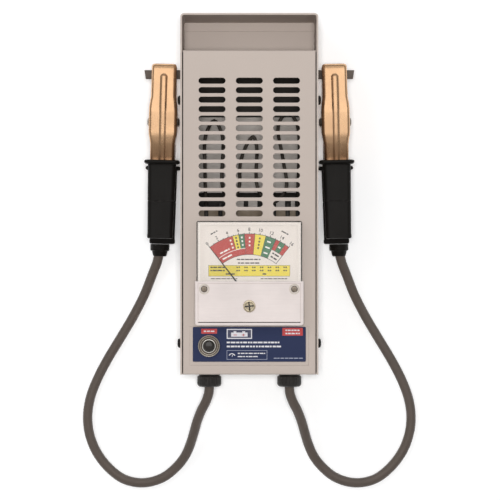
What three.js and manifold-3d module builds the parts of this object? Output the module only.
// Battery load tester: a folded steel case with a vented front cover, a moving-iron voltmeter, a push
// switch, a resistance-wire load, and two leads whose clamps are stored on a bar through the case.
// Millimetres, +Z up. The tester lies on its back: the back plate is on z = 0, +Z is out of the front,
// +Y runs towards the carry recess and the origin is the middle of the back plate.
import * as THREE from 'three';
import { mergeVertices } from 'three/addons/utils/BufferGeometryUtils.js';
import Module from 'manifold-3d';

const wasm = await Module();
wasm.setup();

// ---------- driving dimensions ----------
// Case
const CASE_WIDTH = 100;
const CASE_LENGTH = 262;
const CASE_DEPTH = 64;
const SHEET = 1.2; // steel sheet of both halves
const CASE_CORNER = 2.7; // outer radius between a side wall and the roof
const COVER_GAP = 0.35; // between the front cover and each side wall
const COVER_BEND = 1.5; // outer radius of the cover's folds
const COVER_FLANGE = 14; // depth of the cover's side flanges
const RECESS_HEIGHT = 25.5; // carry recess, from the cover's top edge to the roof's underside
const LIP_HEIGHT = 19; // the cover's rear lip above its top fold
const GAP = 0.3; // between pieces that touch
// Vents
const VENT_LENGTH = 19.5;
const VENT_WIDTH = 4.4;
const VENT_PITCH = 6.87;
const VENT_COLUMNS = 3;
const VENT_COLUMN_PITCH = 27;
const VENT_TOP_MARGIN = 22.3; // first row below the cover's top edge
const VENT_METER_MARGIN = 5.2; // last row's centre above the meter
// Label and its raised pad
const LABEL_WIDTH = 81.9;
const LABEL_HEIGHT = 25.3;
const LABEL_THICKNESS = 0.5;
const LABEL_RISE = 22; // its centre above the case's bottom edge
const PAD_MARGIN_X = 2.5;
const PAD_MARGIN_Y = 0.7;
const PAD_HEIGHT = 0.5;
// Cover screws
const SCREW_RADIUS = 1.9;
const SCREW_HEAD_RADIUS = 3.4;
const SCREW_HEAD_HEIGHT = 2;
const SCREW_LENGTH = 7.5;
const SCREW_CLEARANCE = 0.3;
const SCREW_RISE = 22.5; // lower pair, above the case's bottom edge
const SCREW_DROP = 36; // upper pair, below the cover's top edge
const SCREW_INSET = 8; // behind the front face
// Storage bar
const BAR_REACH = 27.4; // out of each side
const BAR_HEIGHT = 6.6;
const BAR_THICKNESS = 2;
const BAR_SLANT = 1;
const BAR_DROP = 15.6; // below the cover's top edge
const BAR_Z = 32;
// Cable glands
const GLAND_X = 29.5;
const GLAND_Z = 32;
const GLAND_THREAD = 6.3; // thread radius
const GLAND_BORE = 4.2;
const GLAND_COLLAR = 7.65;
const GLAND_NUT_RADIUS = 8.9;
const GLAND_REACH = 8.9; // end of the nut below the case
const GLAND_INSIDE = 9; // end of the thread inside the case
const LOCKNUT_RADIUS = 10;
const LOCKNUT_THICKNESS = 3;
const COLLAR_TOP = 2.2;
const NUT_LID = 1.3;
const NUT_CHAMFER = 0.7;
const NUT_GROOVE = 0.5;
const NUT_CLEARANCE = 0.2;
const NUT_RIBS = 12;
// Meter, measured from the panel's front face
const METER_WIDTH = 76.2;
const METER_HEIGHT = 74.4;
const METER_RISE = 74.1; // its centre above the case's bottom edge
const METER_CORNER = 1.5;
const METER_FLANGE_TOP = 3.3;
const METER_BARREL = 31; // barrel radius
const METER_BARREL_DEPTH = 22;
const METER_WALL = 2;
const WINDOW_TOP = 13.2;
const WINDOW_WALL = 1.6;
const MASK_GAP = 0.25;
const MASK_WALL = 0.75;
const MASK_TOP_EDGE = -6.3; // upper edge of the mask from the meter's centre
const MASK_FOOT = 4.5; // the mask's rim above the panel
const MASK_FRONT = 14.4;
const METER_SCREW_X = 32.4;
const METER_SCREW_Y = -11.9;
const METER_SCREW_RADIUS = 1.1;
const METER_SCREW_HEAD = 2.2;
const METER_POST_RADIUS = 2.6;
const DIAL_POST_X = 24;
const DIAL_POST_Y = -10;
const DIAL_POST_RADIUS = 2.2;
const DIAL_SCREW_RADIUS = 0.9;
const DIAL_SCREW_HEAD = 1.9;
const FLANGE_INSET = 0.5; // meter flange inside the window's outline
const LEDGE = 4; // half the ledges that carry the dial's posts
const PIVOT_DROP = 18.6; // pointer pivot below the meter's centre
const ADJUSTER_DROP = 24.2;
const ADJUSTER_RADIUS = 4.4;
const ADJUSTER_SHAFT = 1.6;
const POINTER_LENGTH = 48.8;
const POINTER_REST = 37.8; // degrees left of the middle, on the zero of the scale
const POINTER_Z = 8.6;
const SPINDLE_RADIUS = 0.7;
const DIAL_Z = 6.3; // underside of the dial plate
const DIAL_THICKNESS = 0.6;
const DIAL_MARGIN = 1; // between the dial plate and what it fits inside
const COIL_OUTER = 9.5;
const COIL_INNER = 5.8;
const TERMINAL_X = 15;
const TERMINAL_RADIUS = 2.5;
const TERMINAL_HEAD = 4;
const TERMINAL_NUT = 4.6; // across the corners, halved
const TERMINAL_REACH = 14; // behind the barrel
const STRAP_THICKNESS = 1.6;
const STRAP_WIDTH = 12;
const STRAP_CLEARANCE = 2.2; // beside the barrel
const BRIDGE_WIDTH = 8;
const BRIDGE_SHEET = 1.5;
// Push switch
const SWITCH_X = -29.2;
const SWITCH_RISE = 20.8; // its centre above the case's bottom edge
const BUSHING_RADIUS = 5;
const BUSHING_BORE = 4.2;
const BUSHING_TOP = 5.2;
const RING_NUT_RADIUS = 8;
const RING_NUT_HEIGHT = 2.8;
const RING_NUT_NOTCHES = 16;
const PLUNGER_RADIUS = 3.9;
const PLUNGER_TOP = 7.2;
const STEM_RADIUS = 2;
const SWITCH_BODY_SIZE = [19, 17];
const SWITCH_BODY_DEPTH = 24;
// Load
const HEAT_PLATE_WIDTH = 84;
const HEAT_PLATE_LENGTH = 56;
const HEAT_PLATE_Z = 15;
const HEAT_PLATE_THICKNESS = 1;
const HEAT_PLATE_DROP = 52; // its centre below the first row of vents
const ELEMENT_RADIUS = 1.3;
const ELEMENT_Z = 27;
const BOARD_LENGTH = 13;
const BOARD_DROP = 17.5; // its middle below the heat plate
const BOARD_Z = 16;
const BOARD_THICKNESS = 2;
const INNER_LEAD_RADIUS = 2.2;
// Clamps, measured from the pivot; the tip is at +Y and the upper half is at +Z
const CLAMP_STANDOFF = 13.3; // pivot from the case's side
const CLAMP_LEAN = 1.16; // degrees outwards at the lead's end
const CLAMP_TIP = 42.7;
const RIB_WIDTH = 4.8;
const RIB_HEIGHT = 0.8;
const CLAMP_BITE = 35.1; // the bar's middle from the pivot
const JAW_SHEET = 1.3;
const JAW_EDGE = 1.3; // jaw edge from the bar's middle plane
const EAR_RADIUS = 8;
const EAR_HALF_WIDTH = 10.25; // upper half at its ears
const EAR_CLEARANCE = 0.35;
const JAW_HALF_WIDTH = 9.1;
const TAIL_HALF_WIDTH = [8.9, 7.6]; // at the grip's start and at the tail's end
const UPPER_TAIL = 84;
const LOWER_TAIL = 87.7;
const TAIL_START = 31; // where the tails begin to narrow, under the grips
const TAIL_SPREAD = 0.2126; // slope of the tails' inner edges, half the angle between them
const RIVET_RADIUS = 2.4;
const RIVET_HEAD = 3.25;
const RIVET_REACH = 11.9;
const SPRING_RADIUS = 4.6;
const SPRING_WIRE = 0.7;
const SPRING_TURNS = 3;
const GRIP_START = 28.4;
const GRIP_HALF_WIDTH = [10.65, 9.5];
const GRIP_THICKNESS = 2;
const GUARD_HALF_WIDTH = 12.95;
const GUARD_THICKNESS = 2.9;
const GUARD_HEIGHT = 2.5;
const LOWER_GRIP_SHIFT = 3.7;
const BOOT_RADIUS = 6.65;
const BOOT_LENGTH = 6.6;
const BOOT_OFFSET = 1.7; // outwards from the clamp's middle
const BOOT_Z = -23.6;
// Free leads
const LEAD_RADIUS = 3.5;
const LEAD_STEPS = 22;
const LEAD_SIDES = 10;
// Route of the left lead, from its gland to its clamp's boot; the right lead mirrors it.
const LEAD_ROUTE = [
  [-29.5, -140.2, 32], [-29.9, -146, 31.8], [-32, -152.4, 30.4], [-35.6, -159.6, 27.4],
  [-38.8, -168, 22.6], [-41.2, -176.4, 17.4], [-43.9, -185.2, 12.2], [-48, -194.6, 7.8],
  [-54.8, -203.4, 4.9], [-65.1, -211.4, 3.8], [-79.4, -215.2, 3.6], [-93.6, -212.6, 3.6],
  [-105.3, -204.1, 3.6], [-114.5, -192.1, 3.6], [-119.8, -178.6, 3.6], [-121.2, -165.1, 3.6],
  [-119.2, -151.6, 3.6], [-114.2, -138.1, 3.6], [-106.7, -123.5, 3.6], [-96.6, -106.7, 3.6],
  [-87.3, -91, 3.6], [-78.8, -74.5, 3.8], [-73, -60, 5.8], [-69.2, -50.4, 7.8], [-67.6, -44.3, 8.4],
];

// ---------- places worked out from the dimensions ----------
const BOTTOM_Y = -CASE_LENGTH / 2;
const ROOF_Y = CASE_LENGTH / 2 - SHEET; // underside of the roof
const COVER_TOP_Y = ROOF_Y - RECESS_HEIGHT;
const COVER_WIDTH = CASE_WIDTH - 2 * (SHEET + COVER_GAP);
const COVER_BACK_Z = SHEET + GAP;
const BAR_Y = COVER_TOP_Y - BAR_DROP;
const METER_Y = BOTTOM_Y + METER_RISE;
const SWITCH_Y = BOTTOM_Y + SWITCH_RISE;
const LABEL_Y = BOTTOM_Y + LABEL_RISE;
const VENT_TOP_Y = COVER_TOP_Y - VENT_TOP_MARGIN;
const VENT_BOTTOM_LIMIT = METER_Y + METER_HEIGHT / 2 + VENT_METER_MARGIN;
const VENT_ROWS = Math.floor((VENT_TOP_Y - VENT_BOTTOM_LIMIT) / VENT_PITCH) + 1;
const LOAD_Y = VENT_TOP_Y - HEAT_PLATE_DROP;
const BOARD_Y = LOAD_Y - HEAT_PLATE_LENGTH / 2 - BOARD_DROP;
const SCREW_LEVELS = [BOTTOM_Y + SCREW_RISE, COVER_TOP_Y - SCREW_DROP];
const PIVOT_X = CASE_WIDTH / 2 + CLAMP_STANDOFF;
const PIVOT_Y = BAR_Y - CLAMP_BITE;

// ---------- helpers ----------
const product = new THREE.Group();

function finish(color, roughness, metalness) {
  return new THREE.MeshStandardMaterial({ color, roughness, metalness });
}

const PAINT = finish(0xc2b8af, 0.5, 0.3);
const BLACK_PLASTIC = finish(0x23211f, 0.55, 0);
const BLACK_VINYL = finish(0x2a2826, 0.6, 0);
const BLACK_STEEL = finish(0x1e1d1c, 0.4, 0.7);
const GREY_STEEL = finish(0x7c766f, 0.45, 0.8);
const ZINC = finish(0xb4b2ac, 0.4, 0.8);
const BRASS = finish(0xc9a86a, 0.35, 0.9);
const COPPER_PLATE = finish(0xe0ad7c, 0.3, 0.9);
const SPRING_STEEL = finish(0x8d8b88, 0.3, 0.9);
const CLEAR = finish(0xf4f1ec, 0.1, 0);
const CREAM = finish(0xe9e1dc, 0.45, 0);
const NAVY = finish(0x2f3b5c, 0.4, 0);
const LEAD_SHEATH = finish(0x5f554e, 0.6, 0);
const FIBRE = finish(0x8f8579, 0.8, 0);
const PHENOLIC = finish(0x352c26, 0.6, 0);

function add(name, shape, material, parent = product) {
  const mesh = new THREE.Mesh(shape.isBufferGeometry ? shape : surface(shape), material);
  mesh.name = name;
  parent.add(mesh);
  return mesh;
}

function solid(geometry) {
  const bare = geometry.clone();
  bare.deleteAttribute('normal');
  bare.deleteAttribute('uv');
  const welded = mergeVertices(bare, 1e-4);
  const corners = welded.index.array;
  const triVerts = [];
  for (let i = 0; i < corners.length; i += 3) {
    const [a, b, c] = [corners[i], corners[i + 1], corners[i + 2]];
    if (a !== b && b !== c && c !== a) triVerts.push(a, b, c);
  }
  return new wasm.Manifold(new wasm.Mesh({
    numProp: 3,
    vertProperties: welded.attributes.position.array,
    triVerts: new Uint32Array(triVerts),
  }));
}

function surface(body) {
  const { vertProperties, triVerts } = body.getMesh();
  const geometry = new THREE.BufferGeometry();
  geometry.setAttribute('position', new THREE.BufferAttribute(vertProperties, 3));
  geometry.setIndex(new THREE.BufferAttribute(triVerts, 1));
  geometry.computeVertexNormals();
  return geometry;
}

function polygon(points) {
  return new THREE.Shape(points.map(([x, y]) => new THREE.Vector2(x, y)));
}

function roundedRectangle(x0, y0, x1, y1, radius) {
  const shape = new THREE.Shape();
  shape.moveTo(x0 + radius, y0);
  shape.lineTo(x1 - radius, y0);
  shape.absarc(x1 - radius, y0 + radius, radius, -Math.PI / 2, 0);
  shape.lineTo(x1, y1 - radius);
  shape.absarc(x1 - radius, y1 - radius, radius, 0, Math.PI / 2);
  shape.lineTo(x0 + radius, y1);
  shape.absarc(x0 + radius, y1 - radius, radius, Math.PI / 2, Math.PI);
  shape.lineTo(x0, y0 + radius);
  shape.absarc(x0 + radius, y0 + radius, radius, Math.PI, 1.5 * Math.PI);
  return shape;
}

// Extrudes a shape drawn in X, Y from z0 to z1; each arc gets twice the stated number of segments.
function alongZ(shape, z0, z1, curveSegments = 2) {
  const options = { depth: z1 - z0, bevelEnabled: false, curveSegments };
  return new THREE.ExtrudeGeometry(shape, options).translate(0, 0, z0);
}

// Extrudes a shape drawn in Y, Z from x0 to x1.
function alongX(shape, x0, x1, curveSegments = 2) {
  const turn = new THREE.Matrix4().set(0, 0, 1, 0, 1, 0, 0, 0, 0, 1, 0, 0, 0, 0, 0, 1);
  return alongZ(shape, x0, x1, curveSegments).applyMatrix4(turn);
}

// Extrudes a shape drawn in X, Z from y0 to y1.
function alongY(shape, y0, y1, curveSegments = 2) {
  return alongZ(shape, -y1, -y0, curveSegments).rotateX(Math.PI / 2);
}

function block(x0, x1, y0, y1, z0, z1) {
  const box = new THREE.BoxGeometry(x1 - x0, y1 - y0, z1 - z0);
  return box.translate((x0 + x1) / 2, (y0 + y1) / 2, (z0 + z1) / 2);
}

// A body of revolution about Z; profile points are [radius, z], going up on the outside.
function turned(profile, sides = 24) {
  const points = profile.map(([radius, z]) => new THREE.Vector2(radius, z));
  return new THREE.LatheGeometry(points, sides).rotateX(Math.PI / 2);
}

function ring(inner, outer, z0, z1, sides = 24) {
  return turned([[inner, z0], [outer, z0], [outer, z1], [inner, z1], [inner, z0]], sides);
}

function rod(radius, z0, z1, sides = 16) {
  return turned([[0, z0], [radius, z0], [radius, z1], [0, z1]], sides);
}

function rodAlongX(radius, x0, x1, y, z, sides = 16) {
  return rod(radius, x0, x1, sides).rotateY(Math.PI / 2).translate(0, y, z);
}

function tube(points, radius, sides, steps) {
  const stations = points.map((point) => new THREE.Vector3(...point));
  const route = new THREE.CatmullRomCurve3(stations, false, 'centripetal');
  const section = new THREE.Shape();
  section.absarc(0, 0, radius, 0, 2 * Math.PI);
  const options = { steps, extrudePath: route, curveSegments: sides / 2, bevelEnabled: false };
  return new THREE.ExtrudeGeometry(section, options);
}

function radians(degrees) {
  return THREE.MathUtils.degToRad(degrees);
}

function joined(...geometries) {
  return geometries.map(solid).reduce((sum, next) => sum.add(next));
}

function cut(body, ...tools) {
  return tools.reduce((rest, tool) => rest.subtract(solid(tool)), body);
}

// ---------- case ----------
function sideScrewHoles(radius) {
  const z = CASE_DEPTH - SCREW_INSET;
  return SCREW_LEVELS.map((y) => rodAlongX(radius, -CASE_WIDTH, CASE_WIDTH, y, z));
}

// An inverted U: straight sides, a roof with rounded corners, open at the bottom.
function shellOutline(halfWidth, bottom, top, radius) {
  const shape = new THREE.Shape();
  shape.moveTo(-halfWidth, bottom);
  shape.lineTo(halfWidth, bottom);
  shape.lineTo(halfWidth, top - radius);
  shape.absarc(halfWidth - radius, top - radius, radius, 0, Math.PI / 2);
  shape.lineTo(-halfWidth + radius, top);
  shape.absarc(-halfWidth + radius, top - radius, radius, Math.PI / 2, Math.PI);
  return shape;
}

function rearShell() {
  const half = CASE_WIDTH / 2;
  const outer = alongZ(shellOutline(half, BOTTOM_Y, CASE_LENGTH / 2, CASE_CORNER), 0, CASE_DEPTH);
  const inside = shellOutline(half - SHEET, BOTTOM_Y - 1, ROOF_Y, CASE_CORNER - SHEET);
  const slotY = BAR_HEIGHT / 2 + GAP;
  const slotZ = BAR_THICKNESS / 2 + GAP;
  return cut(
    solid(outer),
    alongZ(inside, SHEET, CASE_DEPTH + 1),
    block(-CASE_WIDTH, CASE_WIDTH, BAR_Y - slotY, BAR_Y + slotY, BAR_Z - slotZ, BAR_Z + slotZ),
    ...sideScrewHoles(SCREW_RADIUS + SCREW_CLEARANCE),
  );
}

// The cover's sheet seen from the side: bottom flange, front, top fold and rear lip.
function coverProfile() {
  const shape = new THREE.Shape();
  const bend = COVER_BEND;
  shape.moveTo(BOTTOM_Y, COVER_BACK_Z);
  shape.lineTo(BOTTOM_Y, CASE_DEPTH - bend);
  shape.absarc(BOTTOM_Y + bend, CASE_DEPTH - bend, bend, Math.PI, Math.PI / 2, true);
  shape.lineTo(COVER_TOP_Y - bend, CASE_DEPTH);
  shape.absarc(COVER_TOP_Y - bend, CASE_DEPTH - bend, bend, Math.PI / 2, 0, true);
  shape.lineTo(COVER_TOP_Y, COVER_BACK_Z + SHEET);
  shape.lineTo(COVER_TOP_Y + LIP_HEIGHT, COVER_BACK_Z + SHEET);
  shape.lineTo(COVER_TOP_Y + LIP_HEIGHT, COVER_BACK_Z);
  shape.lineTo(COVER_TOP_Y - SHEET, COVER_BACK_Z);
  shape.lineTo(COVER_TOP_Y - SHEET, CASE_DEPTH - SHEET);
  shape.lineTo(BOTTOM_Y + SHEET, CASE_DEPTH - SHEET);
  shape.lineTo(BOTTOM_Y + SHEET, COVER_BACK_Z);
  return shape;
}

// The cover's cross-section: a channel with rounded folds, or the solid that it is cut from.
function coverSection(inset, bottom) {
  const half = COVER_WIDTH / 2 - inset;
  const top = CASE_DEPTH - inset;
  const radius = COVER_BEND - inset;
  const shape = new THREE.Shape();
  shape.moveTo(-half, bottom);
  shape.lineTo(half, bottom);
  shape.lineTo(half, top - radius);
  shape.absarc(half - radius, top - radius, radius, 0, Math.PI / 2);
  shape.lineTo(-half + radius, top);
  shape.absarc(-half + radius, top - radius, radius, Math.PI / 2, Math.PI);
  return shape;
}

function ventShapes() {
  const shapes = [];
  const half = (VENT_LENGTH - VENT_WIDTH) / 2;
  for (let row = 0; row < VENT_ROWS; row += 1) {
    for (let column = 0; column < VENT_COLUMNS; column += 1) {
      const x = (column - (VENT_COLUMNS - 1) / 2) * VENT_COLUMN_PITCH;
      const y = VENT_TOP_Y - row * VENT_PITCH;
      const shape = new THREE.Shape();
      shape.absarc(x + half, y, VENT_WIDTH / 2, -Math.PI / 2, Math.PI / 2);
      shape.absarc(x - half, y, VENT_WIDTH / 2, Math.PI / 2, 1.5 * Math.PI);
      shapes.push(shape);
    }
  }
  return shapes;
}

function frontCover() {
  const sheet = solid(alongX(coverProfile(), -COVER_WIDTH / 2, COVER_WIDTH / 2));
  const rounding = solid(alongY(coverSection(0, 0), BOTTOM_Y - 1, CASE_LENGTH));
  const flangeZ = CASE_DEPTH - COVER_FLANGE;
  const channel = cut(
    solid(alongY(coverSection(0, flangeZ), BOTTOM_Y + SHEET / 2, COVER_TOP_Y - SHEET / 2)),
    alongY(coverSection(SHEET, flangeZ - 1), BOTTOM_Y, COVER_TOP_Y),
  );
  const padX = LABEL_WIDTH / 2 + PAD_MARGIN_X;
  const padY = LABEL_HEIGHT / 2 + PAD_MARGIN_Y;
  const padTop = CASE_DEPTH + PAD_HEIGHT;
  const pad = block(-padX, padX, LABEL_Y - padY, LABEL_Y + padY, CASE_DEPTH - SHEET / 2, padTop);
  const behind = CASE_DEPTH - SHEET - 1;
  const front = CASE_DEPTH + PAD_HEIGHT + 1;
  const meterHole = rod(METER_BARREL + 0.5, behind, front, 32).translate(0, METER_Y, 0);
  const switchHole = rod(BUSHING_RADIUS + GAP, behind, front).translate(SWITCH_X, SWITCH_Y, 0);
  const glandHoles = [-1, 1].map((side) => rod(GLAND_THREAD + GAP, -SHEET - 1, 1)
    .rotateX(Math.PI / 2).translate(side * GLAND_X, BOTTOM_Y, GLAND_Z));
  return cut(
    sheet.intersect(rounding).add(channel).add(solid(pad)),
    alongZ(ventShapes(), behind, front),
    meterHole,
    switchHole,
    ...glandHoles,
    ...sideScrewHoles(SCREW_RADIUS + SCREW_CLEARANCE),
  );
}

function addCoverScrews() {
  const profile = [
    [0, -SCREW_LENGTH], [SCREW_RADIUS, -SCREW_LENGTH], [SCREW_RADIUS, GAP], [SCREW_HEAD_RADIUS, GAP],
    [SCREW_HEAD_RADIUS, GAP + 0.4 * SCREW_HEAD_HEIGHT],
    [0.75 * SCREW_HEAD_RADIUS, GAP + 0.85 * SCREW_HEAD_HEIGHT], [0, GAP + SCREW_HEAD_HEIGHT],
  ];
  SCREW_LEVELS.forEach((y, level) => [-1, 1].forEach((side) => {
    const name = `cover_screw_${['lower', 'upper'][level]}_${side < 0 ? 'left' : 'right'}`;
    const screw = add(name, turned(profile, 14), BLACK_STEEL);
    screw.rotation.y = side * Math.PI / 2;
    screw.position.set(side * CASE_WIDTH / 2, y, CASE_DEPTH - SCREW_INSET);
  }));
}

function addCase() {
  add('rear_shell', rearShell(), PAINT);
  add('front_cover', frontCover(), PAINT);
  addCoverScrews();
  const reach = CASE_WIDTH / 2 + BAR_REACH;
  const low = BAR_Y - BAR_HEIGHT / 2;
  const high = BAR_Y + BAR_HEIGHT / 2;
  const outline = polygon([
    [-reach + BAR_SLANT, low], [reach - BAR_SLANT, low], [reach, high], [-reach, high],
  ]);
  add('clamp_bar', alongZ(outline, BAR_Z - BAR_THICKNESS / 2, BAR_Z + BAR_THICKNESS / 2), GREY_STEEL);
  const labelZ = CASE_DEPTH + PAD_HEIGHT + GAP;
  const label = block(-LABEL_WIDTH / 2, LABEL_WIDTH / 2, LABEL_Y - LABEL_HEIGHT / 2,
    LABEL_Y + LABEL_HEIGHT / 2, labelZ, labelZ + LABEL_THICKNESS);
  const hole = rod(BUSHING_RADIUS + 1, labelZ - 1, labelZ + 2).translate(SWITCH_X, SWITCH_Y, 0);
  add('label_plate', cut(solid(label), hole), NAVY);
}

// ---------- cable glands: local +Z points out of the case ----------
function glandBody() {
  const neck = GLAND_THREAD - GAP;
  const end = GLAND_REACH - NUT_LID - 2 * NUT_CLEARANCE;
  return turned([
    [GLAND_BORE, -GLAND_INSIDE], [GLAND_THREAD, -GLAND_INSIDE], [GLAND_THREAD, GAP], [GLAND_COLLAR, GAP],
    [GLAND_COLLAR, COLLAR_TOP], [neck, COLLAR_TOP], [neck, end], [GLAND_BORE, end],
    [GLAND_BORE, -GLAND_INSIDE],
  ]);
}

function glandNut() {
  const hollow = GLAND_THREAD - GAP + 1.5 * NUT_CLEARANCE;
  const foot = COLLAR_TOP + GAP;
  const lid = GLAND_REACH - NUT_LID;
  const edge = GLAND_NUT_RADIUS - NUT_CHAMFER;
  const cap = turned([
    [hollow, foot], [edge, foot], [GLAND_NUT_RADIUS, foot + NUT_CHAMFER], [GLAND_NUT_RADIUS, lid],
    [edge, GLAND_REACH], [GLAND_BORE, GLAND_REACH], [GLAND_BORE, lid], [hollow, lid], [hollow, foot],
  ], 2 * NUT_RIBS);
  const grooves = [];
  for (let rib = 0; rib < NUT_RIBS; rib += 1) {
    const groove = block(GLAND_NUT_RADIUS - NUT_GROOVE, GLAND_NUT_RADIUS + 1, -0.4, 0.4, foot - 1, lid - 1);
    grooves.push(groove.rotateZ((rib + 0.5) * 2 * Math.PI / NUT_RIBS));
  }
  return cut(solid(cap), ...grooves);
}

function hexagon(radius) {
  const angles = [0, 1, 2, 3, 4, 5].map((corner) => corner * Math.PI / 3);
  return polygon(angles.map((angle) => [radius * Math.cos(angle), radius * Math.sin(angle)]));
}

function glandLocknut() {
  const outline = hexagon(LOCKNUT_RADIUS);
  const hole = new THREE.Path();
  hole.absarc(0, 0, GLAND_THREAD + GAP, 0, 2 * Math.PI);
  outline.holes.push(hole);
  const seat = -SHEET - GAP;
  return alongZ(outline, seat - LOCKNUT_THICKNESS, seat, 8);
}

function addGlands() {
  [['left', -1], ['right', 1]].forEach(([name, side]) => {
    const gland = new THREE.Group();
    gland.position.set(side * GLAND_X, BOTTOM_Y, GLAND_Z);
    gland.rotation.x = Math.PI / 2;
    product.add(gland);
    add(`gland_body_${name}`, glandBody(), BLACK_PLASTIC, gland);
    add(`gland_nut_${name}`, glandNut(), BLACK_PLASTIC, gland);
    add(`gland_locknut_${name}`, glandLocknut(), BLACK_PLASTIC, gland);
  });
}

// ---------- meter: local z = 0 is the panel's front face ----------
const METER_X = METER_WIDTH / 2;
const METER_TOP = METER_HEIGHT / 2;
const BARREL_FLOOR = -METER_BARREL_DEPTH + METER_WALL;
const WINDOW_INNER = WINDOW_TOP - WINDOW_WALL;
const MASK_INNER = WINDOW_TOP + GAP;

function meterRods(x, y, radius, low, top) {
  return [-1, 1].map((side) => rod(radius, low, top, 12).translate(side * x, y, 0));
}

function meterHousing() {
  const x = METER_X - FLANGE_INSET;
  const y = METER_TOP - FLANGE_INSET;
  const flange = roundedRectangle(-x, -y, x, y, METER_CORNER);
  const base = joined(
    alongZ(flange, GAP, METER_FLANGE_TOP),
    rod(METER_BARREL, -METER_BARREL_DEPTH, GAP + 0.5, 32),
  );
  const cup = cut(base, rod(METER_BARREL - METER_WALL, BARREL_FLOOR, METER_FLANGE_TOP + 1, 32));
  const ledges = [-1, 1].map((side) => {
    const [inner, outer] = [side * (DIAL_POST_X - LEDGE), side * (METER_X - LEDGE)].sort((a, b) => a - b);
    return block(inner, outer, DIAL_POST_Y - LEDGE, DIAL_POST_Y + LEDGE, GAP, METER_FLANGE_TOP);
  });
  const posts = [
    ...meterRods(METER_SCREW_X, METER_SCREW_Y, METER_POST_RADIUS, METER_FLANGE_TOP - 1, WINDOW_INNER - GAP),
    ...meterRods(DIAL_POST_X, DIAL_POST_Y, DIAL_POST_RADIUS, METER_FLANGE_TOP - 1, DIAL_Z - GAP),
  ];
  return cut(
    [...ledges, ...posts].reduce((sum, next) => sum.add(solid(next)), cup),
    ...meterRods(METER_SCREW_X, METER_SCREW_Y, METER_SCREW_RADIUS + GAP, -1, WINDOW_TOP),
    ...meterRods(DIAL_POST_X, DIAL_POST_Y, DIAL_SCREW_RADIUS + GAP, -1, WINDOW_TOP),
    ...meterRods(TERMINAL_X, 0, TERMINAL_RADIUS + GAP, -METER_BARREL_DEPTH - 1, BARREL_FLOOR + 1),
  );
}

function meterWindow() {
  const outer = roundedRectangle(-METER_X, -METER_TOP, METER_X, METER_TOP, METER_CORNER);
  const x = METER_X - WINDOW_WALL;
  const y = METER_TOP - WINDOW_WALL;
  const inner = roundedRectangle(-x, -y, x, y, METER_CORNER / 2);
  const low = METER_FLANGE_TOP + GAP;
  const screwHoles = meterRods(METER_SCREW_X, METER_SCREW_Y, METER_SCREW_RADIUS + GAP, low, WINDOW_TOP + 1);
  return cut(
    solid(alongZ(outer, low, WINDOW_TOP)),
    alongZ(inner, low - 1, WINDOW_INNER),
    rod(ADJUSTER_SHAFT + GAP, low, WINDOW_TOP + 1, 12).translate(0, -ADJUSTER_DROP, 0),
    ...screwHoles,
  );
}

function meterMask() {
  const x = METER_X + MASK_GAP;
  const y = METER_TOP + MASK_GAP;
  const skin = MASK_WALL;
  const outer = roundedRectangle(-x - skin, -y - skin, x + skin, METER_TOP, METER_CORNER + skin);
  const inner = roundedRectangle(-x, -y, x, METER_TOP + METER_CORNER, METER_CORNER);
  return cut(
    solid(alongZ(outer, MASK_FOOT, MASK_FRONT)),
    alongZ(inner, MASK_FOOT - 1, MASK_INNER),
    block(-METER_WIDTH, METER_WIDTH, MASK_TOP_EDGE, METER_HEIGHT, MASK_FOOT - 1, MASK_FRONT + 1),
    rod(ADJUSTER_SHAFT + GAP, MASK_FOOT, MASK_FRONT + 1, 12).translate(0, -ADJUSTER_DROP, 0),
    ...meterRods(METER_SCREW_X, METER_SCREW_Y, METER_SCREW_HEAD + 2 * GAP, MASK_FOOT, MASK_FRONT + 1),
  );
}

function dialPlate() {
  const halfWidth = METER_X - WINDOW_WALL - DIAL_MARGIN;
  const top = METER_TOP - WINDOW_WALL - DIAL_MARGIN;
  const lower = DIAL_POST_Y - DIAL_POST_RADIUS - DIAL_MARGIN;
  const shoulder = METER_SCREW_Y + METER_POST_RADIUS + 2 * DIAL_MARGIN;
  const waist = METER_SCREW_X - METER_POST_RADIUS - DIAL_MARGIN;
  const outline = polygon([
    [-waist, lower], [waist, lower], [waist, shoulder], [halfWidth, shoulder], [halfWidth, top],
    [-halfWidth, top], [-halfWidth, shoulder], [-waist, shoulder],
  ]);
  const holes = meterRods(DIAL_POST_X, DIAL_POST_Y, DIAL_SCREW_RADIUS + GAP, DIAL_Z - 1, DIAL_Z + 2);
  return cut(solid(alongZ(outline, DIAL_Z, DIAL_Z + DIAL_THICKNESS)), ...holes);
}

function addMeterScrews(meter) {
  const profile = (shank, head, tip, seat, height) => [
    [0, tip], [shank, tip], [shank, seat], [head, seat], [head, seat + 0.6 * height],
    [0.7 * head, seat + 0.95 * height], [0, seat + height],
  ];
  const screw = profile(METER_SCREW_RADIUS, METER_SCREW_HEAD, 1, WINDOW_TOP + GAP, 1.4);
  const seat = DIAL_Z + DIAL_THICKNESS + GAP;
  const dialScrew = profile(DIAL_SCREW_RADIUS, DIAL_SCREW_HEAD, METER_FLANGE_TOP, seat, 1.2);
  [['left', -1], ['right', 1]].forEach(([name, side]) => {
    add(`meter_screw_${name}`, turned(screw, 14), BRASS, meter)
      .position.set(side * METER_SCREW_X, METER_SCREW_Y, 0);
    add(`dial_screw_${name}`, turned(dialScrew, 10), ZINC, meter)
      .position.set(side * DIAL_POST_X, DIAL_POST_Y, 0);
  });
}

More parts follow.
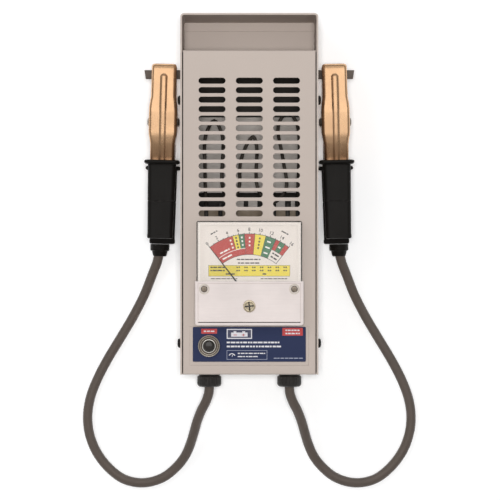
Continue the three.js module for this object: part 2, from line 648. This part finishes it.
// Studs that hold the strap, each with its nut.
function addMeterTerminals(meter) {
  const seat = BARREL_FLOOR + GAP;
  const end = -METER_BARREL_DEPTH - TERMINAL_REACH;
  const nutSeat = -METER_BARREL_DEPTH - GAP - STRAP_THICKNESS - GAP;
  [['left', -1], ['right', 1]].forEach(([name, side]) => {
    const stud = joined(
      rod(TERMINAL_RADIUS, end, seat + 1, 12),
      rod(TERMINAL_HEAD, seat, seat + 2, 12),
      alongZ(hexagon(TERMINAL_NUT), nutSeat - 4, nutSeat),
    );
    add(`meter_terminal_${name}`, stud, BRASS, meter).position.set(side * TERMINAL_X, 0, 0);
  });
}

function meterStrap() {
  const inner = METER_BARREL + STRAP_CLEARANCE;
  const outer = inner + STRAP_THICKNESS;
  const front = -SHEET - GAP;
  const back = -METER_BARREL_DEPTH - GAP;
  const floor = back - STRAP_THICKNESS;
  const section = polygon([
    [-outer, floor], [outer, floor], [outer, front], [inner, front], [inner, back],
    [-inner, back], [-inner, front], [-outer, front],
  ]);
  const holes = meterRods(TERMINAL_X, 0, TERMINAL_RADIUS + GAP, floor - 1, back + 1);
  return cut(solid(alongY(section, -STRAP_WIDTH / 2, STRAP_WIDTH / 2)), ...holes);
}

function movementBridge() {
  const legX = COIL_OUTER + 2;
  const outer = legX + BRIDGE_SHEET;
  const low = BARREL_FLOOR + GAP;
  const under = 2;
  const top = under + BRIDGE_SHEET;
  const section = polygon([
    [-outer, low], [-legX, low], [-legX, under], [legX, under], [legX, low], [outer, low],
    [outer, top], [-outer, top],
  ]);
  const bore = rod(SPINDLE_RADIUS + GAP, under - 1, top + 1, 12);
  return cut(solid(alongY(section, -BRIDGE_WIDTH / 2, BRIDGE_WIDTH / 2)), bore);
}

// Spindle, iron vane, tapered arm and short balance tail; the arm points along local +Y.
function pointer() {
  const side = [[0.5, -4], [0.75, 0], [0.3, POINTER_LENGTH]];
  const arm = polygon([...side, ...side.map(([x, y]) => [-x, y]).reverse()]);
  const parts = joined(
    rod(SPINDLE_RADIUS, BARREL_FLOOR + 1.5, POINTER_Z + 0.6, 10),
    alongZ(arm, POINTER_Z, POINTER_Z + 0.4),
    block(0, COIL_INNER - 1, -0.4, 0.4, -14, -4),
  );
  return parts.add(solid(rod(1.5, POINTER_Z - 0.4, POINTER_Z + 0.8, 12)));
}

function hairspring() {
  const points = [];
  for (let step = 0; step <= 30; step += 1) {
    const angle = step * 2 * Math.PI * 2.5 / 30;
    const radius = 1.6 + 0.11 * step;
    points.push([radius * Math.cos(angle), radius * Math.sin(angle), 5.4]);
  }
  return tube(points, 0.2, 4, 30);
}

function zeroAdjuster() {
  const headZ = MASK_FRONT + GAP;
  const shaft = turned([
    [0, 10.4], [ADJUSTER_SHAFT, 10.4], [ADJUSTER_SHAFT, headZ], [ADJUSTER_RADIUS, headZ],
    [ADJUSTER_RADIUS - 0.5, headZ + 0.9],
    [0, headZ + 1.1],
  ], 20);
  const slot = block(-ADJUSTER_RADIUS, ADJUSTER_RADIUS, -0.5, 0.5, headZ + 0.5, headZ + 2);
  return cut(joined(shaft, rod(0.5, 9.7, 11, 8).translate(0, 0.9, 0)), slot);
}

function addMeter() {
  const meter = new THREE.Group();
  meter.position.set(0, METER_Y, CASE_DEPTH);
  product.add(meter);
  add('meter_housing', meterHousing(), PHENOLIC, meter);
  add('meter_strap', meterStrap(), ZINC, meter);
  addMeterTerminals(meter);
  add('dial_plate', dialPlate(), CREAM, meter);
  addMeterScrews(meter);
  add('meter_window', meterWindow(), CLEAR, meter);
  add('meter_mask', meterMask(), CREAM, meter);
  const movement = new THREE.Group();
  movement.position.set(0, -PIVOT_DROP, 0);
  meter.add(movement);
  add('meter_coil', ring(COIL_INNER, COIL_OUTER, -17, -2, 24), COPPER_PLATE, movement);
  add('movement_bridge', movementBridge(), BRASS, movement);
  add('hairspring', hairspring(), BRASS, movement);
  add('pointer', pointer(), BLACK_STEEL, movement).rotation.z = radians(POINTER_REST);
  add('zero_adjuster', zeroAdjuster(), BRASS, meter).position.set(0, -ADJUSTER_DROP, 0);
}

// ---------- push switch: local z = 0 is the panel's front face ----------
const BODY_TOP = -SHEET - GAP;
const BODY_FLOOR = -SWITCH_BODY_DEPTH + 2;
const SHELF_TOP = -14;
const SHELF_BOTTOM = -15.4;
const BUSHING_FOOT = -6;
const CONTACT_X = 5;

function switchBody() {
  const [width, height] = SWITCH_BODY_SIZE;
  const outline = roundedRectangle(-width / 2, -height / 2, width / 2, height / 2, 1.5);
  const slots = [-1, 1].map((side) => block(side * CONTACT_X - 0.8, side * CONTACT_X + 0.8, -2.3, 2.3,
    -SWITCH_BODY_DEPTH - 1, BODY_FLOOR + 1));
  return cut(
    solid(alongZ(outline, -SWITCH_BODY_DEPTH, BODY_TOP)),
    rod(BUSHING_RADIUS + GAP, SHELF_TOP, BODY_TOP + 1),
    rod(STEM_RADIUS + GAP, SHELF_BOTTOM - 1, SHELF_TOP + 1, 12),
    block(-width / 2 + 2, width / 2 - 2, -height / 2 + 2, height / 2 - 2, BODY_FLOOR, SHELF_BOTTOM),
    ...slots,
  );
}

function ringNut() {
  const seat = PAD_HEIGHT + GAP + LABEL_THICKNESS + GAP;
  const top = seat + RING_NUT_HEIGHT;
  const hollow = BUSHING_RADIUS + GAP;
  const nut = turned([
    [hollow, seat], [RING_NUT_RADIUS, seat], [RING_NUT_RADIUS, top - 1], [RING_NUT_RADIUS - 1, top],
    [hollow + 0.5, top - 0.4], [hollow, top - 0.8], [hollow, seat],
  ], 2 * RING_NUT_NOTCHES);
  const notches = [];
  for (let k = 0; k < RING_NUT_NOTCHES; k += 1) {
    const notch = block(RING_NUT_RADIUS - 0.5, RING_NUT_RADIUS + 1, -0.3, 0.3, seat - 1, top + 1);
    notches.push(notch.rotateZ(k * 2 * Math.PI / RING_NUT_NOTCHES));
  }
  return cut(solid(nut), ...notches);
}

function plunger() {
  return turned([
    [0, -18.6], [1, -18.6], [1, -16], [STEM_RADIUS, -16], [STEM_RADIUS, -3], [PLUNGER_RADIUS, -3],
    [PLUNGER_RADIUS, PLUNGER_TOP - 1.8], [0.8 * PLUNGER_RADIUS, PLUNGER_TOP - 0.7],
    [0.45 * PLUNGER_RADIUS, PLUNGER_TOP - 0.15], [0, PLUNGER_TOP],
  ], 16);
}

function coil(radius, wire, turns, z0, z1, stepsPerTurn) {
  const points = [];
  const steps = turns * stepsPerTurn;
  for (let step = 0; step <= steps; step += 1) {
    const angle = step * 2 * Math.PI / stepsPerTurn;
    points.push([radius * Math.cos(angle), radius * Math.sin(angle), z0 + (z1 - z0) * step / steps]);
  }
  return tube(points, wire, 6, steps);
}

function switchTerminal() {
  return joined(
    block(-1.7, 1.7, -2, 2, BODY_FLOOR + GAP, BODY_FLOOR + GAP + 1.2),
    block(-0.5, 0.5, -2, 2, -SWITCH_BODY_DEPTH - 6, BODY_FLOOR + GAP + 0.6),
  );
}

function addSwitch() {
  const group = new THREE.Group();
  group.position.set(SWITCH_X, SWITCH_Y, CASE_DEPTH);
  product.add(group);
  add('switch_body', switchBody(), PHENOLIC, group);
  add('switch_bushing', ring(BUSHING_BORE, BUSHING_RADIUS, BUSHING_FOOT, BUSHING_TOP, 32), ZINC, group);
  add('ring_nut', ringNut(), ZINC, group);
  add('plunger', plunger(), BLACK_PLASTIC, group);
  const bridge = block(-6.5, 6.5, -2, 2, -17.5, -16.3);
  add('contact_bridge', cut(solid(bridge), rod(1 + GAP, -19, -15, 12)), COPPER_PLATE, group);
  add('button_spring', coil(3.1, 0.35, 4, SHELF_TOP + 0.7, -3.7, 10), SPRING_STEEL, group);
  [['left', -1], ['right', 1]].forEach(([name, side]) => {
    add(`switch_terminal_${name}`, switchTerminal(), BRASS, group).position.x = side * CONTACT_X;
  });
}

// ---------- load ----------
// A steel plate on two legs that keeps the heat off the back of the case.
function heatPlate() {
  const y0 = LOAD_Y - HEAT_PLATE_LENGTH / 2;
  const y1 = LOAD_Y + HEAT_PLATE_LENGTH / 2;
  const t = HEAT_PLATE_THICKNESS;
  const foot = SHEET + GAP;
  const section = polygon([
    [y0, foot], [y0 + t, foot], [y0 + t, HEAT_PLATE_Z - t], [y1 - t, HEAT_PLATE_Z - t], [y1 - t, foot],
    [y1, foot], [y1, HEAT_PLATE_Z], [y0, HEAT_PLATE_Z],
  ]);
  return alongX(section, -HEAT_PLATE_WIDTH / 2, HEAT_PLATE_WIDTH / 2);
}

// Resistance wire: five runs joined by bends, both ends on the terminal board.
function loadElement() {
  const end = BOARD_Z + BOARD_THICKNESS + GAP + ELEMENT_RADIUS;
  const z = ELEMENT_Z;
  const route = [
    [-32, -43, end], [-32, -37, end + 1.5], [-32.4, -28, z - 1], [-32.8, -10, z], [-32.3, 14, z],
    [-26, 25, z], [-20, 14, z], [-19.6, -26, z], [-13.8, -34, z], [-8, -26, z], [-6.5, -6, z],
    [-1.5, 8, z], [3, 13, z], [5.4, 6, z], [6.4, -26, z], [16.5, -36, z], [27, -26, z], [25, -4, z],
    [21.5, 22, z], [28.5, 31, z], [35.5, 22, z], [36, -24, z - 1], [36, -37, end + 1.5], [36, -43, end],
  ];
  return tube(route.map(([x, y, height]) => [x, LOAD_Y + y, height]), ELEMENT_RADIUS, 6, 60);
}

function terminalBoard() {
  const half = HEAT_PLATE_WIDTH / 2;
  const foot = SHEET + GAP;
  const top = BOARD_Z + BOARD_THICKNESS;
  const section = polygon([
    [-half, foot], [-half + 2, foot], [-half + 2, BOARD_Z], [half - 2, BOARD_Z], [half - 2, foot],
    [half, foot], [half, top], [-half, top],
  ]);
  return alongY(section, BOARD_Y - BOARD_LENGTH / 2, BOARD_Y + BOARD_LENGTH / 2);
}

function addInnerLeads() {
  const glandEnd = BOTTOM_Y + GLAND_INSIDE + GAP;
  const tabZ = CASE_DEPTH - SWITCH_BODY_DEPTH - 4;
  const boardEnd = BOARD_Y - BOARD_LENGTH / 2 - GAP;
  const boardZ = BOARD_Z + BOARD_THICKNESS / 2;
  const tabEdge = SWITCH_Y - 2 - GAP;
  const toSwitch = [
    [-GLAND_X, glandEnd, GLAND_Z], [-GLAND_X - 1.5, glandEnd + 3.5, GLAND_Z + 1.5],
    [SWITCH_X - CONTACT_X, tabEdge - 2.5, tabZ], [SWITCH_X - CONTACT_X, tabEdge, tabZ],
  ];
  const toBoard = (side) => [
    [side * 41, BOTTOM_Y + 50, 10], [side * 41, boardEnd - 14, 12], [side * 38.2, boardEnd - 4, boardZ],
    [side * 38, boardEnd, boardZ],
  ];
  const fromGland = [
    [GLAND_X, glandEnd, GLAND_Z], [31, glandEnd + 8, GLAND_Z - 8], [38, BOTTOM_Y + 34, 12],
  ];
  const tabX = SWITCH_X + CONTACT_X;
  const tabY = SWITCH_Y + 2 + GAP;
  const fromSwitch = [[tabX, tabY, tabZ - 2], [tabX - 4, tabY + 7, tabZ - 8], [-38, BOTTOM_Y + 38, 14]];
  add('inner_lead_left', tube(toSwitch, INNER_LEAD_RADIUS, 8, 5), BLACK_VINYL);
  add('inner_lead_right', tube([...fromGland, ...toBoard(1)], INNER_LEAD_RADIUS, 8, 14), BLACK_VINYL);
  add('load_lead', tube([...fromSwitch, ...toBoard(-1)], INNER_LEAD_RADIUS, 8, 14), BLACK_VINYL);
}

function addLoad() {
  add('heat_plate', heatPlate(), ZINC);
  add('load_element', loadElement(), GREY_STEEL);
  add('terminal_board', terminalBoard(), FIBRE);
  addInnerLeads();
}

// ---------- clamps ----------
// The outer line of the upper half from the side, from the tip back to the tail: [y, z].
function backLine(tail) {
  const tailSlope = 0.205;
  return [
    [CLAMP_TIP, 6.5], [CLAMP_TIP - 1.2, 8.6], [CLAMP_TIP - 4, 10], [28, 13], [14, 16.8], [7, 18],
    [-10, 18], [-16, 17.4], [-26, 15.8], [-TAIL_START, 15.6],
    [-tail, 15.6 + tailSlope * (tail - TAIL_START)],
  ];
}

function clampProfile(tail) {
  const edge = (y) => [y, TAIL_SPREAD * Math.abs(y)];
  const ear = [];
  for (let k = 0; k <= 8; k += 1) {
    const angle = Math.PI + k * Math.PI / 8;
    ear.push([EAR_RADIUS * Math.cos(angle), EAR_RADIUS * Math.sin(angle)]);
  }
  return polygon([...backLine(tail), edge(-tail), edge(-EAR_RADIUS - 1), ...ear,
    [EAR_RADIUS, JAW_EDGE], [CLAMP_TIP, JAW_EDGE]]);
}

function clampHollow(tail) {
  const line = backLine(tail + 2).map(([y, z]) => [Math.min(y, CLAMP_TIP - JAW_SHEET), z - JAW_SHEET]);
  return polygon([...line, [-tail - 2, -EAR_RADIUS - 1], [CLAMP_TIP - JAW_SHEET, -EAR_RADIUS - 1]]);
}

// Outline from above; the ears are wider or narrower than the jaw.
function clampPlan(earHalfWidth, tail, inset) {
  const [tailStart, tailEnd] = TAIL_HALF_WIDTH;
  const tip = CLAMP_TIP - inset;
  const end = inset ? tail + 2 : tail;
  const side = [
    [JAW_HALF_WIDTH - 1.8, tip], [JAW_HALF_WIDTH - 0.6, tip - 0.6], [JAW_HALF_WIDTH, tip - 2],
    [JAW_HALF_WIDTH, 18], [earHalfWidth, EAR_RADIUS + 2.3], [earHalfWidth, -EAR_RADIUS - 2.3],
    [tailStart, -17], [tailStart, -TAIL_START], [tailEnd, -end],
  ].map(([x, y]) => [x - inset, y]);
  return polygon([...side, ...side.map(([x, y]) => [-x, y]).reverse()]);
}

function rivetHole(radius) {
  return rodAlongX(radius, -15, 15, 0, 0);
}

function jawTeeth() {
  const teeth = [];
  for (let y = 24; y < CLAMP_TIP - 2; y += 2.2) {
    const notch = polygon([
      [y - 0.9, JAW_EDGE - 1], [y + 0.9, JAW_EDGE - 1], [y + 0.6, JAW_EDGE], [y, JAW_EDGE + 1.5],
      [y - 0.6, JAW_EDGE],
    ]);
    teeth.push(alongX(notch, -15, 15));
  }
  return teeth;
}

// One folded half of a clamp, drawn as the upper one.
function clampHalf(earHalfWidth, tail) {
  const span = 15;
  const outer = solid(alongX(clampProfile(tail), -span, span))
    .intersect(solid(alongZ(clampPlan(earHalfWidth, tail, 0), -span, 40)));
  const hollow = solid(alongX(clampHollow(tail), -span, span))
    .intersect(solid(alongZ(clampPlan(earHalfWidth, tail, JAW_SHEET), -span, 40)));
  const channel = cut(outer.subtract(hollow), rivetHole(RIVET_RADIUS + GAP), ...jawTeeth());
  const crest = backLine(tail).filter(([y]) => y < 34 && y > -GRIP_START);
  const ribEnd = GAP - GRIP_START;
  const ribLine = [[34.6, backHeight(34.6)], ...crest, [ribEnd, backHeight(ribEnd)]];
  const crown = ribLine.map(([y, z]) => [y, z + RIB_HEIGHT]);
  const root = ribLine.map(([y, z]) => [y, z - RIB_HEIGHT / 2]).reverse();
  return channel.add(solid(alongX(polygon([...crown, ...root]), -RIB_WIDTH / 2, RIB_WIDTH / 2)));
}

function tailHalfWidth(y, tail) {
  const [start, end] = TAIL_HALF_WIDTH;
  const share = THREE.MathUtils.clamp((-y - TAIL_START) / (tail - TAIL_START), 0, 1);
  return start + (end - start) * share;
}

// Height of the outer line at y.
function backHeight(y) {
  const line = backLine(LOWER_TAIL + 5);
  const k = line.findIndex(([end], i) => i > 0 && end <= y);
  const [[y0, z0], [y1, z1]] = [line[k - 1], line[k]];
  return z0 + (z1 - z0) * (y - y0) / (y1 - y0);
}

function clampGrip(shift, tail) {
  const start = -GRIP_START - shift;
  const end = -tail - 2;
  const span = 15;
  const lift = GAP + GRIP_THICKNESS;
  const stops = [start, -TAIL_START - shift, -45, -60, end];
  const lineAt = (raise) => stops.map((y) => [y, backHeight(y) + raise]);
  const edge = (y) => [y, TAIL_SPREAD * Math.abs(y) + GAP];
  const [wide, narrow] = GRIP_HALF_WIDTH;
  const profile = polygon([...lineAt(lift), edge(end), edge(start)]);
  const plan = polygon([[wide, start], [narrow, end], [-narrow, end], [-wide, start]]);
  const sleeve = solid(alongX(profile, -span, span)).intersect(solid(alongZ(plan, 0, 40)));
  const guardTop = backHeight(start) + lift + GUARD_HEIGHT;
  const guardLow = edge(start - GUARD_THICKNESS)[1];
  const guard = alongY(roundedRectangle(-GUARD_HALF_WIDTH, guardLow, GUARD_HALF_WIDTH, guardTop, 3),
    start - GUARD_THICKNESS, start);
  const hollow = polygon([[start + 1, backHeight(start) + GAP + 0.3], ...lineAt(GAP).slice(0, -1),
    [-tail - GAP, backHeight(-tail) + GAP], [-tail - GAP, 0], [start + 1, 0]]);
  const sides = [start + 1, -TAIL_START - 10, -tail - GAP].map((y) => [tailHalfWidth(y, tail) + GAP, y]);
  const passage = polygon([...sides, ...sides.map(([x, y]) => [-x, y]).reverse()]);
  const space = solid(alongX(hollow, -span, span)).intersect(solid(alongZ(passage, -1, 40)));
  return sleeve.add(solid(guard)).subtract(space);
}

// Torsion spring round the rivet, its legs pressing the two tails apart.
function clampSpring() {
  const points = [];
  const legY = -24;
  const legZ = backHeight(legY) - JAW_SHEET - SPRING_WIRE - GAP;
  const tangent = Math.atan2(legZ, legY) - Math.acos(SPRING_RADIUS / Math.hypot(legY, legZ));
  const sweep = 2 * tangent + SPRING_TURNS * 2 * Math.PI;
  const steps = 12 * SPRING_TURNS;
  const halfWidth = 3.6;
  points.push([halfWidth, legY, legZ], [halfWidth, legY / 2, legZ / 2 + SPRING_RADIUS / 2]);
  for (let step = 0; step <= steps; step += 1) {
    const angle = tangent - sweep * step / steps;
    const x = halfWidth * (1 - 2 * step / steps);
    points.push([x, SPRING_RADIUS * Math.cos(angle), SPRING_RADIUS * Math.sin(angle)]);
  }
  points.push([-halfWidth, legY / 2, -legZ / 2 - SPRING_RADIUS / 2], [-halfWidth, legY, -legZ]);
  return tube(points, SPRING_WIRE, 6, 42);
}

function rivet() {
  const seat = EAR_HALF_WIDTH + GAP;
  return turned([
    [0, -RIVET_REACH], [RIVET_HEAD - 1, -RIVET_REACH], [RIVET_HEAD, -seat - 0.4], [RIVET_HEAD, -seat],
    [RIVET_RADIUS, -seat], [RIVET_RADIUS, seat], [RIVET_HEAD, seat], [RIVET_HEAD, seat + 0.4],
    [RIVET_HEAD - 1, RIVET_REACH], [0, RIVET_REACH],
  ], 16).rotateY(Math.PI / 2);
}

function boot() {
  const y = -LOWER_TAIL - 2 - GAP;
  const profile = [
    [LEAD_RADIUS, 0], [BOOT_RADIUS, 0], [BOOT_RADIUS, 4.4], [BOOT_RADIUS - 0.9, 4.8],
    [BOOT_RADIUS - 1.3, BOOT_LENGTH], [LEAD_RADIUS, BOOT_LENGTH], [LEAD_RADIUS, 0],
  ];
  return turned(profile, 20).rotateX(Math.PI / 2).translate(0, y, BOOT_Z);
}

function flipped(body) {
  return body.rotate([0, 180, 0]);
}

function addClamp(name, side) {
  const clamp = new THREE.Group();
  clamp.position.set(side * PIVOT_X, PIVOT_Y, BAR_Z);
  clamp.rotation.z = side * radians(CLAMP_LEAN);
  product.add(clamp);
  add(`upper_jaw_${name}`, clampHalf(EAR_HALF_WIDTH, UPPER_TAIL), COPPER_PLATE, clamp);
  const innerEar = EAR_HALF_WIDTH - JAW_SHEET - EAR_CLEARANCE;
  add(`lower_jaw_${name}`, flipped(clampHalf(innerEar, LOWER_TAIL)), COPPER_PLATE, clamp);
  add(`upper_grip_${name}`, clampGrip(0, UPPER_TAIL), BLACK_VINYL, clamp);
  add(`lower_grip_${name}`, flipped(clampGrip(LOWER_GRIP_SHIFT, LOWER_TAIL)), BLACK_VINYL, clamp);
  add(`jaw_rivet_${name}`, rivet(), GREY_STEEL, clamp);
  add(`jaw_spring_${name}`, clampSpring(), SPRING_STEEL, clamp);
  add(`boot_${name}`, boot(), BLACK_VINYL, clamp).position.x = side * BOOT_OFFSET;
}

// ---------- leads ----------
function addLead(name, side) {
  const route = LEAD_ROUTE.map(([x, y, z]) => [-side * x, y, z]);
  add(`lead_${name}`, tube(route, LEAD_RADIUS, LEAD_SIDES, LEAD_STEPS), LEAD_SHEATH);
}

addCase();
addGlands();
addMeter();
addSwitch();
addLoad();
[['left', -1], ['right', 1]].forEach(([name, side]) => {
  addClamp(name, side);
  addLead(name, side);
});

export default product;
